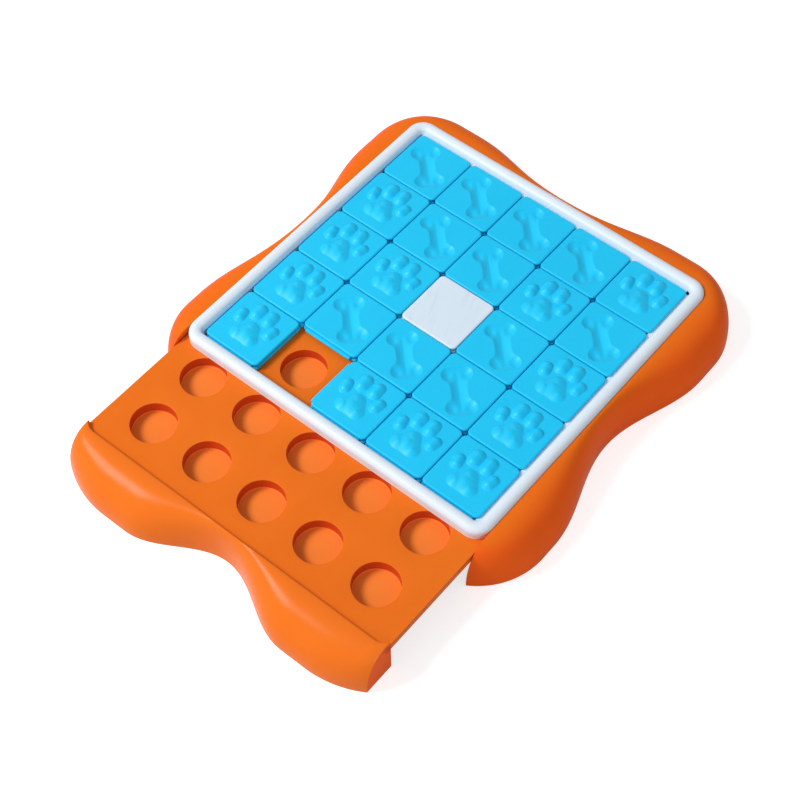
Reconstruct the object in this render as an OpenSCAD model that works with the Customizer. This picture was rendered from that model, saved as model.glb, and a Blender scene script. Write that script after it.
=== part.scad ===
// Dog puzzle feeder: a lobed base, a sliding drawer with food wells under it, and a frame of
// twenty-four captive sliding tiles with one empty place on top.
// Millimetres. Z is up from the floor, the drawer pulls out towards -Y, the origin lies on the
// floor under the middle of the tile field.

/* [Tile field] */
// distance from one tile centre to the next
tile_pitch = 43; // [36:0.5:52]
// running gap left between two neighbouring tiles
tile_gap = 0.6; // [0.4:0.05:1]
// gap between the outer tiles and the wall of the frame
edge_gap = 1.3; // [0.8:0.1:2]
// thickness of a tile from its underside to its flat top
tile_thickness = 5.6; // [5:0.1:7]
// thickness of the tongue along two sides of each tile
tongue_thickness = 1.6; // [1.2:0.1:2]
// how far a tongue stands out of the side of its tile
tongue_reach = 1.9; // [1.4:0.05:2.4]
// play above and below a tongue in its groove
tongue_play = 0.2; // [0.1:0.05:0.4]
// corner radius of a tile seen from above
tile_corner = 3.4; // [2:0.2:5]
// radius of the rounded top edge of a tile
tile_edge = 1; // [0.5:0.1:1]
// height of the domed paw on a tile
paw_height = 1.9; // [1.2:0.1:2.2]
// depth of the bone sunk into a tile
bone_depth = 1.2; // [0.8:0.1:1.4]
// run of the sloping wall round a bone
bone_slope = 1.4; // [0.6:0.1:2]
// share of full size at which the paws and bones are drawn
motif_scale = 1; // [0.7:0.05:1.1]

/* [Frame] */
// width of the rounded bead of the frame
bead_width = 8.4; // [7:0.2:12]
// height of the bead's crest above the tile tops
bead_height = 3; // [2:0.25:5]
// outer corner radius of the frame
frame_corner = 12; // [10:0.5:16]
// slope of the frame's wall between the bead and the tiles, seen from above
wall_slope = 0.8; // [0.4:0.1:1.2]
// diameter of the pegs that are staked into the base
peg_diameter = 3; // [2:0.2:3.6]

/* [Base] */
// height of the flat tile tops above the floor
deck_height = 33.5; // [30:0.5:42]
// how far the lobes reach out of the frame at the floor
lobe_reach = 24.3; // [20:0.5:30]
// how far the hollows between the lobes reach out of the frame at the floor
waist_reach = 6.8; // [5.6:0.2:10]
// place of the lobe crowns as a share of the frame's half width
lobe_place = 0.654; // [0.6:0.002:0.7]
// radius of the corner lobes seen from above
corner_round = 50; // [44:1:56]
// fullness of the rounded wall, 2 being an ellipse
wall_fullness = 2.3; // [2:0.1:2.8]
// thickness of the moulded outer wall
shell_wall = 2.4; // [1.8:0.1:3]
// thickness of the floor plate
plate_thickness = 2; // [1.6:0.1:3]
// gap between the floor and the moulded edges
floor_gap = 0.6; // [0.4:0.1:1]
// diameter of the self-tapping screws in the floor plate
screw_diameter = 2.9; // [2.2:0.1:3.5]
// diameter of the small rubber feet
foot_diameter = 14; // [10:1:18]

/* [Drawer] */
// running gap above and below the drawer's edges
drawer_gap = 0.3; // [0.2:0.05:0.5]
// gap on each side between the drawer and its bay
side_gap = 0.6; // [0.4:0.05:1]
// thickness of the drawer's plate
drawer_plate = 2; // [1.6:0.1:2.6]
// height of the drawer's side edges
drawer_edge = 6; // [4.5:0.25:8]
// how much wider the food wells are spaced than the tiles
well_spread = 0.6; // [0:0.1:1]
// inside diameter of the food wells
well_diameter = 29; // [24:0.5:34]
// depth of the food wells
well_depth = 8; // [5:0.5:10]
// wall thickness of the wells
well_wall = 1.6; // [1.2:0.1:2]
// how far the wells stand in front of the tiles when the drawer is shut
well_setback = 3.2; // [0:0.2:6]
// how far the drawer stands out of the base as drawn here
drawer_out = 83.6; // [60:0.2:90]
// length of the stops that hold the last of the drawer in its bay
stop_length = 6.3; // [4:0.1:12]
// reach of the front lip at its lobes
lip_lobe_reach = 28.5; // [22:0.5:32]
// distance from the middle of the lip to where its lobes reach out in full
lip_lobe_place = 62; // [50:1:70]
// reach of the front lip at its middle
lip_waist_reach = 5.4; // [5.2:0.1:9]
// fullness of the lip's rounded front, 2 being an ellipse
lip_fullness = 2.3; // [2:0.1:2.8]
// radius of the round from the lip's lobes to its ends
lip_end_round = 70; // [60:1:90]
// radius of the small corners at the ends of the lip's crest
lip_corner = 9; // [6:0.5:12]
// height of the lip's crest above the drawer's plate
lip_rise = 3.2; // [2:0.2:4.5]

/* [Hidden] */
count = 5;
fine = 64;
e = 0.01;
far = 400;
// tile field and frame, seen from above
field_half = tile_pitch * count / 2;
tile_size = tile_pitch - tile_gap;
wall_half = field_half - tile_gap / 2 + edge_gap;
frame_half = wall_half + wall_slope + bead_width;
corner_at = frame_half - frame_corner;
// heights
groove_height = tongue_thickness + 2 * tongue_play;
slab = (tile_thickness - groove_height) / 2;
groove_depth = tongue_reach + tile_gap - edge_gap + 0.3;
tile_bottom = deck_height - tile_thickness;
drawer_top = tile_bottom - 0.5;
rail_bottom = drawer_top + drawer_gap;
flange_thickness = 2.3;
flange_top = rail_bottom + flange_thickness;
crest = deck_height + bead_height;
shell_top = deck_height - 0.3;
plate_bottom = floor_gap + 0.2;
plate_top = plate_bottom + plate_thickness;
// plan of the base
bay_half = frame_half + 0.3;
bay_corner = frame_corner + 0.3;
bay_wall = 2;
lobe_half = frame_half + lobe_reach;
lobe_half_wave = frame_half * lobe_place;
waist_half = frame_half + waist_reach;
round_at = lobe_half - corner_round;
front_round_at = round_at - 4;
levels = 10;
side_steps = 26;
corner_steps = 10;
turn_steps = 14;
// drawer
drawer_half = bay_half - side_gap;
edge_bottom = drawer_top - drawer_edge;
ledge_top = edge_bottom - drawer_gap;
ledge_in = bay_half - 5.5;
lip_at = -frame_half - 0.4;
lip_top = drawer_top + lip_rise;
drawer_back = lip_at + 2 * field_half + 7.7;
stop_at = -corner_at + stop_length;
well_r = well_diameter / 2;
well_pitch = tile_pitch + well_spread;
lip_turn = drawer_half + 1.5 - lip_corner;
lip_round_at = drawer_half - 37.4;
// fixings
boss_at = frame_half + 11.3;
boss_r = 4;
boss_foot = plate_top + 1.8;
foot_at = field_half - 12;

// ---------------------------------------------------------------- shared plan and profile

// a smooth swing from lo at the middle to hi at one half wave out
function wave(a, lo, hi, half) = lo + (hi - lo) * (1 - cos(180 * min(abs(a), half) / half)) / 2;

// share of the reach and share of the height along the rounded wall
function reach_at(t) = pow(sin(t), 2 / wall_fullness);
function rise_at(t) = pow(max(cos(t), 0), 2 / wall_fullness);

// plan stations as [top x, top y, floor x, floor y], from the front right corner round the back
function right_side() = [for (i = [0 : side_steps])
    let (u = -1 + 2 * i / side_steps, b = u < 0 ? u * front_round_at : u * round_at)
    [bay_half, corner_at * u, wave(b, waist_half, lobe_half, lobe_half_wave), b]];
function back_corner(n) = [for (i = [1 : n - 1]) let (a = 90 * i / n)
    [corner_at + bay_corner * cos(a), corner_at + bay_corner * sin(a),
    round_at + corner_round * cos(a), round_at + corner_round * sin(a)]];
function back_side() = [for (i = [0 : side_steps])
    let (u = 1 - 2 * i / side_steps, b = u * round_at)
    [corner_at * u, bay_half, b, wave(b, waist_half, lobe_half, lobe_half_wave)]];
function mirrored(list) = [for (i = [len(list) - 1 : -1 : 0])
    [-list[i][0], list[i][1], -list[i][2], list[i][3]]];
function front_corner(n, last) = [for (i = [0 : n]) let (a = last * i / n)
    [corner_at + bay_corner * cos(a), -corner_at - bay_corner * sin(a),
    round_at + corner_round * cos(a), -front_round_at - corner_round * sin(a)]];
front_stations = [for (i = [turn_steps : -1 : 1]) front_corner(turn_steps, 84)[i]];
half_stations = concat(front_stations, right_side(), back_corner(corner_steps));
stations = concat(half_stations, back_side(), mirrored(half_stations));

// a point between a station's top and its floor point
function between(s, f, z) = [s[0] + (s[2] - s[0]) * f, s[1] + (s[3] - s[1]) * f, z];
function span(s) = norm([s[2] - s[0], s[3] - s[1]]);

// a point on the rounded wall, or as deep inside it as inset says, at one station and level
function wall_point(s, j, inset) = let (
    t = 90 * j / levels,
    g = inset / span(s))
    between(s, (1 - g) * reach_at(t),
    floor_gap + (shell_top - floor_gap - inset) * rise_at(t));

// faces of a tube of n rings with m points each, turned so that they face out
function strips(n, m) = [for (i = [0 : n - 2], j = [0 : m - 1], k = [0, 1])
    let (a = i * m + j, b = i * m + (j + 1) % m, c = a + m, d = b + m)
    k == 0 ? [a, c, d] : [a, d, b]];
function turned(faces) = [for (f = faces) [f[2], f[1], f[0]]];
function moved(faces, by) = [for (f = faces) [for (i = f) i + by]];

// the moulded outer wall as one hollow sweep; its top edge is the rim that the frame sits in
module wall_sweep() {
    m = 2 * (levels + 1);
    n = len(stations);
    points = [for (s = stations) each concat(
        [for (j = [0 : levels]) wall_point(s, j, 0)],
        [for (j = [levels : -1 : 0]) wall_point(s, j, shell_wall)])];
    ends = [for (j = [0 : levels - 1], k = [0, 1])
        k == 0 ? [j, j + 1, m - 2 - j] : [j, m - 2 - j, m - 1 - j]];
    polyhedron(points, concat(strips(n, m), ends, turned(moved(ends, (n - 1) * m))));
}

// the wall that closes the hollow front corner along the bay
module corner_wall() {
    list = concat(front_stations, [for (i = [0 : 1]) right_side()[i]]);
    n = len(list);
    m = levels + 2;
    points = [for (s = list) each concat(
        [for (j = [0 : levels]) wall_point(s, j, shell_wall / 2)],
        [[s[0], s[1], floor_gap]])];
    ends = [for (j = [0 : levels - 1]) [j, j + 1, m - 1]];
    intersection() {
        polyhedron(points, concat(strips(n, m), ends, turned(moved(ends, (n - 1) * m))));
        translate([bay_half + 0.6, -far, 0])
            cube([bay_wall - 0.4, far - corner_at + 2, deck_height]);
    }
}

// a square with round corners, centred
module rounded_square(size, r) {
    square([size - 2 * r, size], center = true);
    square([size, size - 2 * r], center = true);
    for (x = [-1, 1], y = [-1, 1])
        translate([x * (size / 2 - r), y * (size / 2 - r)])
            circle(r = r, $fn = fine);
}

// a square band open towards the front
module bay_band(inner, outer, r_in, r_out) {
    difference() {
        rounded_square(2 * outer, r_out);
        rounded_square(2 * inner, r_in);
        translate([-far, -far - corner_at])
            square([2 * far, far]);
    }
}

// repeats its child at the six lobe crowns
module at_lobes() {
    for (a = [0, 180], y = [-1, 1])
        rotate([0, 0, a])
            translate([boss_at, y * lobe_half_wave, 0])
                children();
    for (x = [-1, 1])
        translate([x * lobe_half_wave, boss_at, 0])
            rotate([0, 0, 90])
                children();
}

// repeats its child at the pegs of the left, back and right rails
module at_pegs() {
    rows = [-0.8, -0.28, 0.28, 0.8];
    for (u = rows, x = [-1, 1])
        translate([x * (frame_half - 3), u * field_half, 0])
            children();
    for (u = rows)
        translate([u * field_half, frame_half - 3, 0])
            children();
}

// ---------------------------------------------------------------- base

module base_shell() {
    color("darkorange")
    difference() {
        union() {
            // the sweep runs on round the front corners and is cut off at the bay
            difference() {
                wall_sweep();
                translate([-bay_half, -far, -1])
                    cube([2 * bay_half, far - corner_at, 60]);
            }
            corner_wall();
            mirror([1, 0, 0])
                corner_wall();
            // side and back walls of the drawer bay
            translate([0, 0, plate_top])
                linear_extrude(deck_height - 2 - plate_top)
                    bay_band(bay_half + 0.4, bay_half + 0.4 + bay_wall, bay_corner + 0.4,
                        bay_corner + 0.4 + bay_wall);
            // flange over the edges of the drawer, which carries the frame
            translate([0, 0, rail_bottom])
                linear_extrude(flange_thickness)
                    bay_band(wall_half + 3.5, bay_half + 1, frame_corner - 5.7,
                        frame_corner + 1.3);
            // ledges under the edges of the drawer, with the two stops
            for (x = [-1, 1]) {
                translate([x * (ledge_in + bay_half + 1.5) / 2, 0, ledge_top - 1])
                    cube([bay_half + 1.5 - ledge_in, 2 * corner_at, 2], center = true);
                translate([x * (ledge_in - 1.5), (stop_at - corner_at) / 2, ledge_top + 0.4])
                    cube([5, stop_at + corner_at, 4.8], center = true);
            }
            at_lobes() {
                translate([0, 0, boss_foot])
                    cylinder(r = boss_r, h = deck_height - 6 - boss_foot, $fn = fine);
                translate([-10, -0.9, boss_foot + 1])
                    cube([8, 1.8, deck_height - 9 - boss_foot]);
            }
        }
        at_lobes()
            translate([0, 0, boss_foot - 1])
                cylinder(d = screw_diameter + 0.1, h = 11, $fn = fine);
        at_pegs()
            translate([0, 0, rail_bottom - 1])
                cylinder(d = peg_diameter + 0.3, h = flange_thickness + 2, $fn = fine);
    }
}

// plan of the floor plate inside the moulded wall
module plate_plan() {
    inset = shell_wall + 0.3;
    intersection() {
        polygon([for (s = stations) let (p = between(s, 1 - inset / span(s), 0)) [p[0], p[1]]]);
        union() {
            translate([-far, -corner_at + 2.4])
                square([2 * far, far]);
            translate([-corner_at, -frame_half + 5])
                square([2 * corner_at, 40]);
            for (x = [-1, 1])
                translate([x * (bay_half + bay_wall + 0.5 + 50), -60])
                    square([100, 400], center = true);
        }
    }
}

module bottom_plate() {
    color("orangered")
    difference() {
        union() {
            translate([0, 0, plate_bottom])
                linear_extrude(plate_thickness)
                    plate_plan();
            at_lobes()
                translate([0, 0, plate_bottom])
                    cylinder(r = boss_r + 1.5, h = boss_foot - plate_bottom, $fn = fine);
            // stiffening ribs under the drawer
            for (x = [-2 : 2])
                translate([x * tile_pitch, 0, plate_top + 1])
                    cube([1.8, 2 * field_half - 6, 2 + e], center = true);
            for (y = [-2 : 2])
                translate([0, y * tile_pitch, plate_top + 1])
                    cube([2 * field_half - 6, 1.8, 2 + e], center = true);
        }
        at_lobes() {
            translate([0, 0, -1])
                cylinder(d = screw_diameter + 0.6, h = 10, $fn = fine);
            translate([0, 0, -1])
                cylinder(d = 2 * screw_diameter + 0.6, h = plate_bottom + 3, $fn = fine);
        }
        for (x = [-1, 1], y = [-1, 1])
            translate([x * foot_at, y * foot_at, -1])
                cylinder(d = foot_diameter + 0.3, h = 2.8, $fn = fine);
        translate([0, 0, -1])
            cylinder(d = 2 * foot_diameter + 0.3, h = 2.8, $fn = fine);
    }
}

module bottom_screws() {
    color("silver")
    at_lobes()
        difference() {
            union() {
                translate([0, 0, plate_bottom + 0.2])
                    cylinder(d = 2 * screw_diameter, h = 1.8, $fn = fine);
                translate([0, 0, plate_bottom + 2 - e])
                    cylinder(d = screw_diameter, h = 9.5, $fn = fine);
            }
            translate([0, 0, plate_bottom + 0.6])
                cube([3.4, 0.7, 1.2], center = true);
            translate([0, 0, plate_bottom + 0.6])
                cube([0.7, 3.4, 1.2], center = true);
        }
}

module rubber_feet() {
    color("dimgray") {
        for (x = [-1, 1], y = [-1, 1])
            translate([x * foot_at, y * foot_at, 0])
                cylinder(d = foot_diameter, h = 1.8, $fn = fine);
        cylinder(d = 2 * foot_diameter, h = 1.8, $fn = fine);
    }
}

// ---------------------------------------------------------------- frame

// section of a rail, measured from the centre of the frame's corner
function rail_section(deep) = let (
    w = bead_width / 2,
    mid = frame_corner - w,
    in = frame_corner - bead_width - wall_slope,
    base = deck_height + 0.2,
    foot = [[in, deck_height - 1.2], [in, rail_bottom]])
    concat(
        [[frame_corner, deep ? rail_bottom : flange_top]],
        [for (i = [0 : 14]) let (a = 180 * i / 14)
            [mid + w * sign(cos(a)) * pow(abs(cos(a)), 0.8),
            base + (crest - base) * pow(sin(a), 0.8)]],
        deep ? foot : concat(foot, [[in + 3, rail_bottom], [in + 3, flange_top]]));

module rail(deep) {
    translate([corner_at, corner_at, 0])
        rotate([90, 0, 0])
            linear_extrude(2 * corner_at)
                polygon(rail_section(deep));
}

module rail_corner(deep) {
    translate([corner_at, corner_at, 0])
        rotate_extrude(angle = 90, $fn = fine)
            polygon(rail_section(deep));
}

module frame() {
    groove_z = tile_bottom + slab;
    tip = wall_half - edge_gap - tongue_reach + tile_gap;
    deep = wall_half + groove_depth;
    color("aliceblue")
    difference() {
        union() {
            for (a = [0, 90, 180])
                rotate([0, 0, a])
                    rail(false);
            rotate([0, 0, 270])
                rail(true);
            for (a = [0, 90])
                rotate([0, 0, a])
                    rail_corner(false);
            for (a = [180, 270])
                rotate([0, 0, a])
                    rail_corner(true);
            // tongues along the right and back rails
            translate([tip, -wall_half + 0.8, groove_z + tongue_play])
                cube([wall_half + 1 - tip, 2 * wall_half - 0.8, tongue_thickness]);
            translate([-wall_half + 0.8, tip, groove_z + tongue_play])
                cube([2 * wall_half - 0.8, wall_half + 1 - tip, tongue_thickness]);
            at_pegs()
                translate([0, 0, rail_bottom + 0.2])
                    cylinder(d = peg_diameter, h = flange_thickness, $fn = fine);
        }
        // grooves along the left and front rails
        translate([-deep, -deep, groove_z])
            cube([groove_depth + e, 2 * wall_half, groove_height]);
        translate([-deep, -deep, groove_z])
            cube([2 * wall_half, groove_depth + e, groove_height]);
        translate([-deep, -deep, groove_z])
            cube([groove_depth + tile_corner, groove_depth + tile_corner, groove_height]);
    }
}

// ---------------------------------------------------------------- drawer

// inner and outer lines of the lip in plan, for a drawer that is shut
function lip_in(x) = lip_at + lip_corner
    - sqrt(pow(lip_corner, 2) - pow(max(abs(x) - lip_turn, 0), 2));
function lip_out(x) = -frame_half
    - wave(x, lip_waist_reach, lip_lobe_reach, lip_lobe_place)
    + lip_end_round - sqrt(pow(lip_end_round, 2) - pow(max(abs(x) - lip_round_at, 0), 2));

// outer and inner lines of the lip's wall at one place across the drawer
function lip_skin(x, j, inner) = let (
    t = 90 * j / levels,
    g = inner ? shell_wall : 0,
    y0 = lip_in(x) + 0.8 - g,
    y1 = lip_out(x) + g)
    [x, y0 + (y1 - y0) * pow(sin(t), 2 / lip_fullness),
    floor_gap + (lip_top - g - floor_gap) * pow(max(cos(t), 0), 2 / lip_fullness)];

// places along the lip, closer together round its two small corners
lip_end_places = [for (i = [1 : 6]) lip_turn + (drawer_half - lip_turn) * i / 6];
lip_places = concat(
    [for (i = [5 : -1 : 0]) -lip_end_places[i]],
    [for (i = [0 : 36]) -lip_turn + lip_turn * i / 18],
    lip_end_places);

module lip_sweep() {
    m = 2 * (levels + 1) + 2;
    n = len(lip_places);
    points = [for (x = lip_places) each concat(
        [for (j = [0 : levels]) lip_skin(x, j, false)],
        [for (j = [levels : -1 : 0]) lip_skin(x, j, true)],
        [for (y = [0.8 - shell_wall, 0.8]) [x, lip_in(x) + y, floor_gap]])];
    ends = concat(
        [for (j = [0 : levels - 1], k = [0, 1])
            k == 0 ? [j, j + 1, m - 4 - j] : [j, m - 4 - j, m - 3 - j]],
        [[0, m - 3, m - 2], [0, m - 2, m - 1]]);
    cap = [for (f = ends) [for (i = f) i + (n - 1) * m]];
    polyhedron(points, concat(strips(n, m), ends, [for (f = cap) [f[2], f[1], f[0]]]));
}

// end wall of the lip
module lip_end() {
    x = drawer_half;
    translate([x - shell_wall, 0, 0])
        rotate([90, 0, 90])
            linear_extrude(shell_wall)
                polygon(concat(
                    [for (j = [0 : levels]) let (p = lip_skin(x, j, false)) [p[1], p[2]]],
                    [[lip_in(x) + 0.8, floor_gap]]));
}

module drawer() {
    color("orange")
    translate([0, -drawer_out, 0]) {
        difference() {
            translate([-drawer_half, lip_at - 1.2, drawer_top - drawer_plate])
                cube([2 * drawer_half, drawer_back - lip_at + 1.2, drawer_plate]);
            at_wells()
                cylinder(r = well_r + well_wall / 2, h = far, $fn = fine);
        }
        at_wells()
            well();
        // side edges and the back edge
        for (x = [-1, 1])
            translate([x * (drawer_half - 1), (lip_at + drawer_back) / 2,
                    edge_bottom + drawer_edge / 2])
                cube([2, drawer_back - lip_at, drawer_edge], center = true);
        translate([-drawer_half, drawer_back - 2, edge_bottom])
            cube([2 * drawer_half, 2, drawer_edge]);
        // tabs that meet the stops in the base
        for (x = [-1, 1])
            translate([x * (ledge_in - 2.3), drawer_back - 2, drawer_top - 4.4])
                cube([4, 4, 7.2], center = true);
        // the lip, cut to a steep face above the tray
        difference() {
            union() {
                lip_sweep();
                lip_end();
                mirror([1, 0, 0])
                    lip_end();
            }
            translate([0, 0, drawer_top])
                linear_extrude(20)
                    polygon(concat(
                        [for (x = lip_places) [x, lip_in(x)]],
                        [[far, lip_in(drawer_half)], [far, 0], [-far, 0],
                        [-far, lip_in(drawer_half)]]));
        }
    }
}

// repeats its child at the five by five wells
module at_wells() {
    for (c = [-2 : 2], r = [-2 : 2])
        translate([c * well_pitch, r * well_pitch - well_setback, 0])
            children();
}

// one food well, a cup that hangs in the drawer's plate
module well() {
    translate([0, 0, drawer_top - well_depth - well_wall])
        difference() {
            cylinder(r = well_r + well_wall, h = well_depth + well_wall, $fn = fine);
            translate([0, 0, well_wall])
                cylinder(r = well_r, h = well_depth + 1, $fn = fine);
        }
}

// ---------------------------------------------------------------- tiles

// radius of a ball that shows as a crown of this half width and height
function ball(half_width, rise) = (half_width * half_width + rise * rise) / (2 * rise);

// a ball that lies with its poles level, so that its crown is one smooth patch
module level_ball(r) {
    rotate([90, 0, 0])
        sphere(r = r, $fn = fine);
}

// a long low dome on the tile's top
module toe(half_width, run, rise) {
    r = ball(half_width, rise);
    translate([0, 0, deck_height + rise - r]) {
        for (y = [-1, 1])
            translate([0, y * run / 2, 0])
                level_ball(r);
        rotate([90, 0, 0])
            cylinder(r = r, h = run, center = true, $fn = fine);
    }
}

// a round low dome on the tile's top
module bump(half_width, rise) {
    r = ball(half_width, rise);
    translate([0, 0, deck_height + rise - r])
        level_ball(r);
}

// four toes and a pad of three lobes, cut off inside the tile
module paw() {
    k = tile_pitch * motif_scale;
    intersection() {
        translate([-k / 2, -k / 2, deck_height - 1])
            cube([k, k, paw_height + 2]);
        union() {
            for (x = [-1, 1]) {
                translate([x * 0.284 * k, 0.06 * k, 0])
                    rotate([0, 0, -x * 11])
                        toe(0.092 * k, 0.09 * k, 0.8 * paw_height);
                translate([x * 0.114 * k, 0.253 * k, 0])
                    rotate([0, 0, -x * 3])
                        toe(0.106 * k, 0.1 * k, 0.85 * paw_height);
                translate([x * 0.112 * k, -0.195 * k, 0])
                    bump(0.142 * k, 0.84 * paw_height);
            }
            translate([0, -0.138 * k, 0])
                bump(0.2 * k, paw_height);
            translate([0, -0.04 * k, 0])
                bump(0.142 * k, 0.86 * paw_height);
        }
    }
}

// cutter for the bone: four round lobes and a bar between them, flat floored with sloping walls
module bone() {
    k = tile_pitch * motif_scale;
    over = 0.5;
    flare = bone_slope * over / bone_depth;
    lobe = 0.118 * k;
    bar = 0.098 * k;
    translate([0, 0, deck_height - bone_depth]) {
        for (s = [-1, 1], p = [[0.286, -0.124], [0.124, -0.286]])
            translate([s * p[0] * k, s * p[1] * k, 0])
                cylinder(r1 = lobe - bone_slope, r2 = lobe + flare, h = bone_depth + over,
                    $fn = fine);
        rotate([90, 0, 45])
            linear_extrude(0.56 * k, center = true)
                polygon([[-bar + bone_slope, 0], [bar - bone_slope, 0],
                    [bar + flare, bone_depth + over], [-bar - flare, bone_depth + over]]);
    }
}

// half of the top slab's section, out to run, with its rounded edge
module edge_section(run) {
    square([run, slab - tile_edge]);
    square([run - tile_edge, slab]);
    intersection() {
        square([run, slab]);
        translate([run - tile_edge, slab - tile_edge])
            circle(r = tile_edge, $fn = fine);
    }
}

// the top slab: a cross of two bars and four turned corners
module top_slab() {
    c = tile_size / 2 - tile_corner;
    for (a = [0, 90])
        rotate([90, 0, a])
            linear_extrude(2 * c, center = true) {
                edge_section(tile_size / 2);
                mirror([1, 0, 0])
                    edge_section(tile_size / 2);
            }
    for (a = [0 : 90 : 270])
        rotate([0, 0, a])
            translate([c, c, 0])
                rotate_extrude(angle = 90, $fn = fine)
                    edge_section(tile_corner);
}

// the tile blank: top and bottom slab, a core that leaves grooves on the right and at the
// back, and tongues on the left and at the front that stop short of the corners
module tile_blank() {
    s = tongue_reach;
    side = tile_size - 2 * tile_corner;
    translate([0, 0, deck_height - slab])
        top_slab();
    translate([0, 0, tile_bottom])
        linear_extrude(slab)
            rounded_square(tile_size, tile_corner / 2);
    translate([-s / 2, -s / 2, tile_bottom + slab - e])
        linear_extrude(groove_height + 2 * e)
            rounded_square(tile_size - s, tile_corner);
    for (m = [0, 1])
        mirror([m, -m, 0])
            translate([-tile_size / 2 - s, -side / 2, tile_bottom + slab + tongue_play])
                cube([s + 2, side, tongue_thickness]);
}

// a tile in its place; kind is "paw", "bone" or "plain"
module tile(row, col, kind) {
    color(kind == "plain" ? "white" : "deepskyblue")
    translate([(col - 3) * tile_pitch, (row - 3) * tile_pitch, 0])
        difference() {
            union() {
                tile_blank();
                if (kind == "paw")
                    paw();
            }
            if (kind == "bone")
                bone();
        }
}

// ---------------------------------------------------------------- assembly

base_shell();
bottom_plate();
bottom_screws();
rubber_feet();
frame();
drawer();
tile(1, 1, "paw");  // tile_r1_c1
tile(1, 3, "paw");  // tile_r1_c3
tile(1, 4, "paw");  // tile_r1_c4
tile(1, 5, "paw");  // tile_r1_c5
tile(2, 1, "paw");  // tile_r2_c1
tile(2, 2, "bone");  // tile_r2_c2
tile(2, 3, "bone");  // tile_r2_c3
tile(2, 4, "bone");  // tile_r2_c4
tile(2, 5, "paw");  // tile_r2_c5
tile(3, 1, "paw");  // tile_r3_c1
tile(3, 2, "paw");  // tile_r3_c2
tile(3, 3, "plain");  // tile_r3_c3
tile(3, 4, "bone");  // tile_r3_c4
tile(3, 5, "paw");  // tile_r3_c5
tile(4, 1, "paw");  // tile_r4_c1
tile(4, 2, "bone");  // tile_r4_c2
tile(4, 3, "bone");  // tile_r4_c3
tile(4, 4, "paw");  // tile_r4_c4
tile(4, 5, "bone");  // tile_r4_c5
tile(5, 1, "bone");  // tile_r5_c1
tile(5, 2, "bone");  // tile_r5_c2
tile(5, 3, "bone");  // tile_r5_c3
tile(5, 4, "bone");  // tile_r5_c4
tile(5, 5, "paw");  // tile_r5_c5
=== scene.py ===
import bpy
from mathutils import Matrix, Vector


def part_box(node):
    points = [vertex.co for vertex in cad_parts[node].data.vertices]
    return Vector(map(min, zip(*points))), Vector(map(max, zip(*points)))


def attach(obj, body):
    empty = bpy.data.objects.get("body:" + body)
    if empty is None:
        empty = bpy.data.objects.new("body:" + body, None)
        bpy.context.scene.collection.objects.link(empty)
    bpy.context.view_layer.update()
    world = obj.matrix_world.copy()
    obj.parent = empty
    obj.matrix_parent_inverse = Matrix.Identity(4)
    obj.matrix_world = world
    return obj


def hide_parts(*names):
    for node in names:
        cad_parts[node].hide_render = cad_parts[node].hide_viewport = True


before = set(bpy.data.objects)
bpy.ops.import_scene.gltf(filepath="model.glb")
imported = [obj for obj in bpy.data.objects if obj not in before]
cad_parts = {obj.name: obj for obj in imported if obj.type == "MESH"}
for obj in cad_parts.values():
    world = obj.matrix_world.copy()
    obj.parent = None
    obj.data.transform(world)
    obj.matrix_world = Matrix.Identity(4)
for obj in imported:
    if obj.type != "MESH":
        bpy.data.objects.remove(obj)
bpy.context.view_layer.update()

import math

import bmesh
import bpy
import numpy as np
from mathutils import Matrix, Vector

# --- Lobed base wall
# The outer wall of the base is one thin moulding in orange ABS. It starts level at the rim round
# the frame and rolls down to a lobed foot line: two crowns and a waist on each closed side.
scene = bpy.context.scene
MM = 0.001  # every size below is in millimetres


def corners(node):
    """Lowest and highest corner of a CAD node, in millimetres to a hundredth."""
    return [[round(value / MM, 2) for value in corner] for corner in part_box(node)]


base_low, base_high = corners("base_shell")
frame_low, frame_high = corners("frame")
FRAME_HALF = frame_high[0]
FRAME_CORNER = 12.0
CORNER_AT = FRAME_HALF - FRAME_CORNER
RIM_GAP = 0.3
RIM_HALF = FRAME_HALF + RIM_GAP
RIM_CORNER = FRAME_CORNER + RIM_GAP
RIM_TOP = base_high[2]
LOBE_HALF = base_high[0]
WAIST_HALF = 124.5
CROWN_AT = FRAME_HALF * 0.654
FOOT_Z = base_low[2]
FOOT_ROUND = 50.0
FRONT_SHIFT = 4.0
FRONT_SWEEP = 84
FULLNESS = 2.3
WALL = 2.4


def link(tree, value, socket):
    """Joins a socket to an input, or sets the input to a plain value."""
    if isinstance(value, bpy.types.NodeSocket):
        tree.links.new(value, socket)
    else:
        socket.default_value = value


def calc(tree, operation, *values):
    """A math node on sockets or numbers; gives its result socket."""
    node = tree.nodes.new("ShaderNodeMath")
    node.operation = operation
    for socket, value in zip(node.inputs, values):
        link(tree, value, socket)
    return node.outputs[0]


def add_node(tree, kind, settings=None, **inputs):
    """A node of one kind with its inputs linked or set by their names."""
    node = tree.nodes.new(kind)
    for name, value in (settings or {}).items():
        setattr(node, name, value)
    for name, value in inputs.items():
        link(tree, value, node.inputs[name.replace("_", " ")])
    return node


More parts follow.
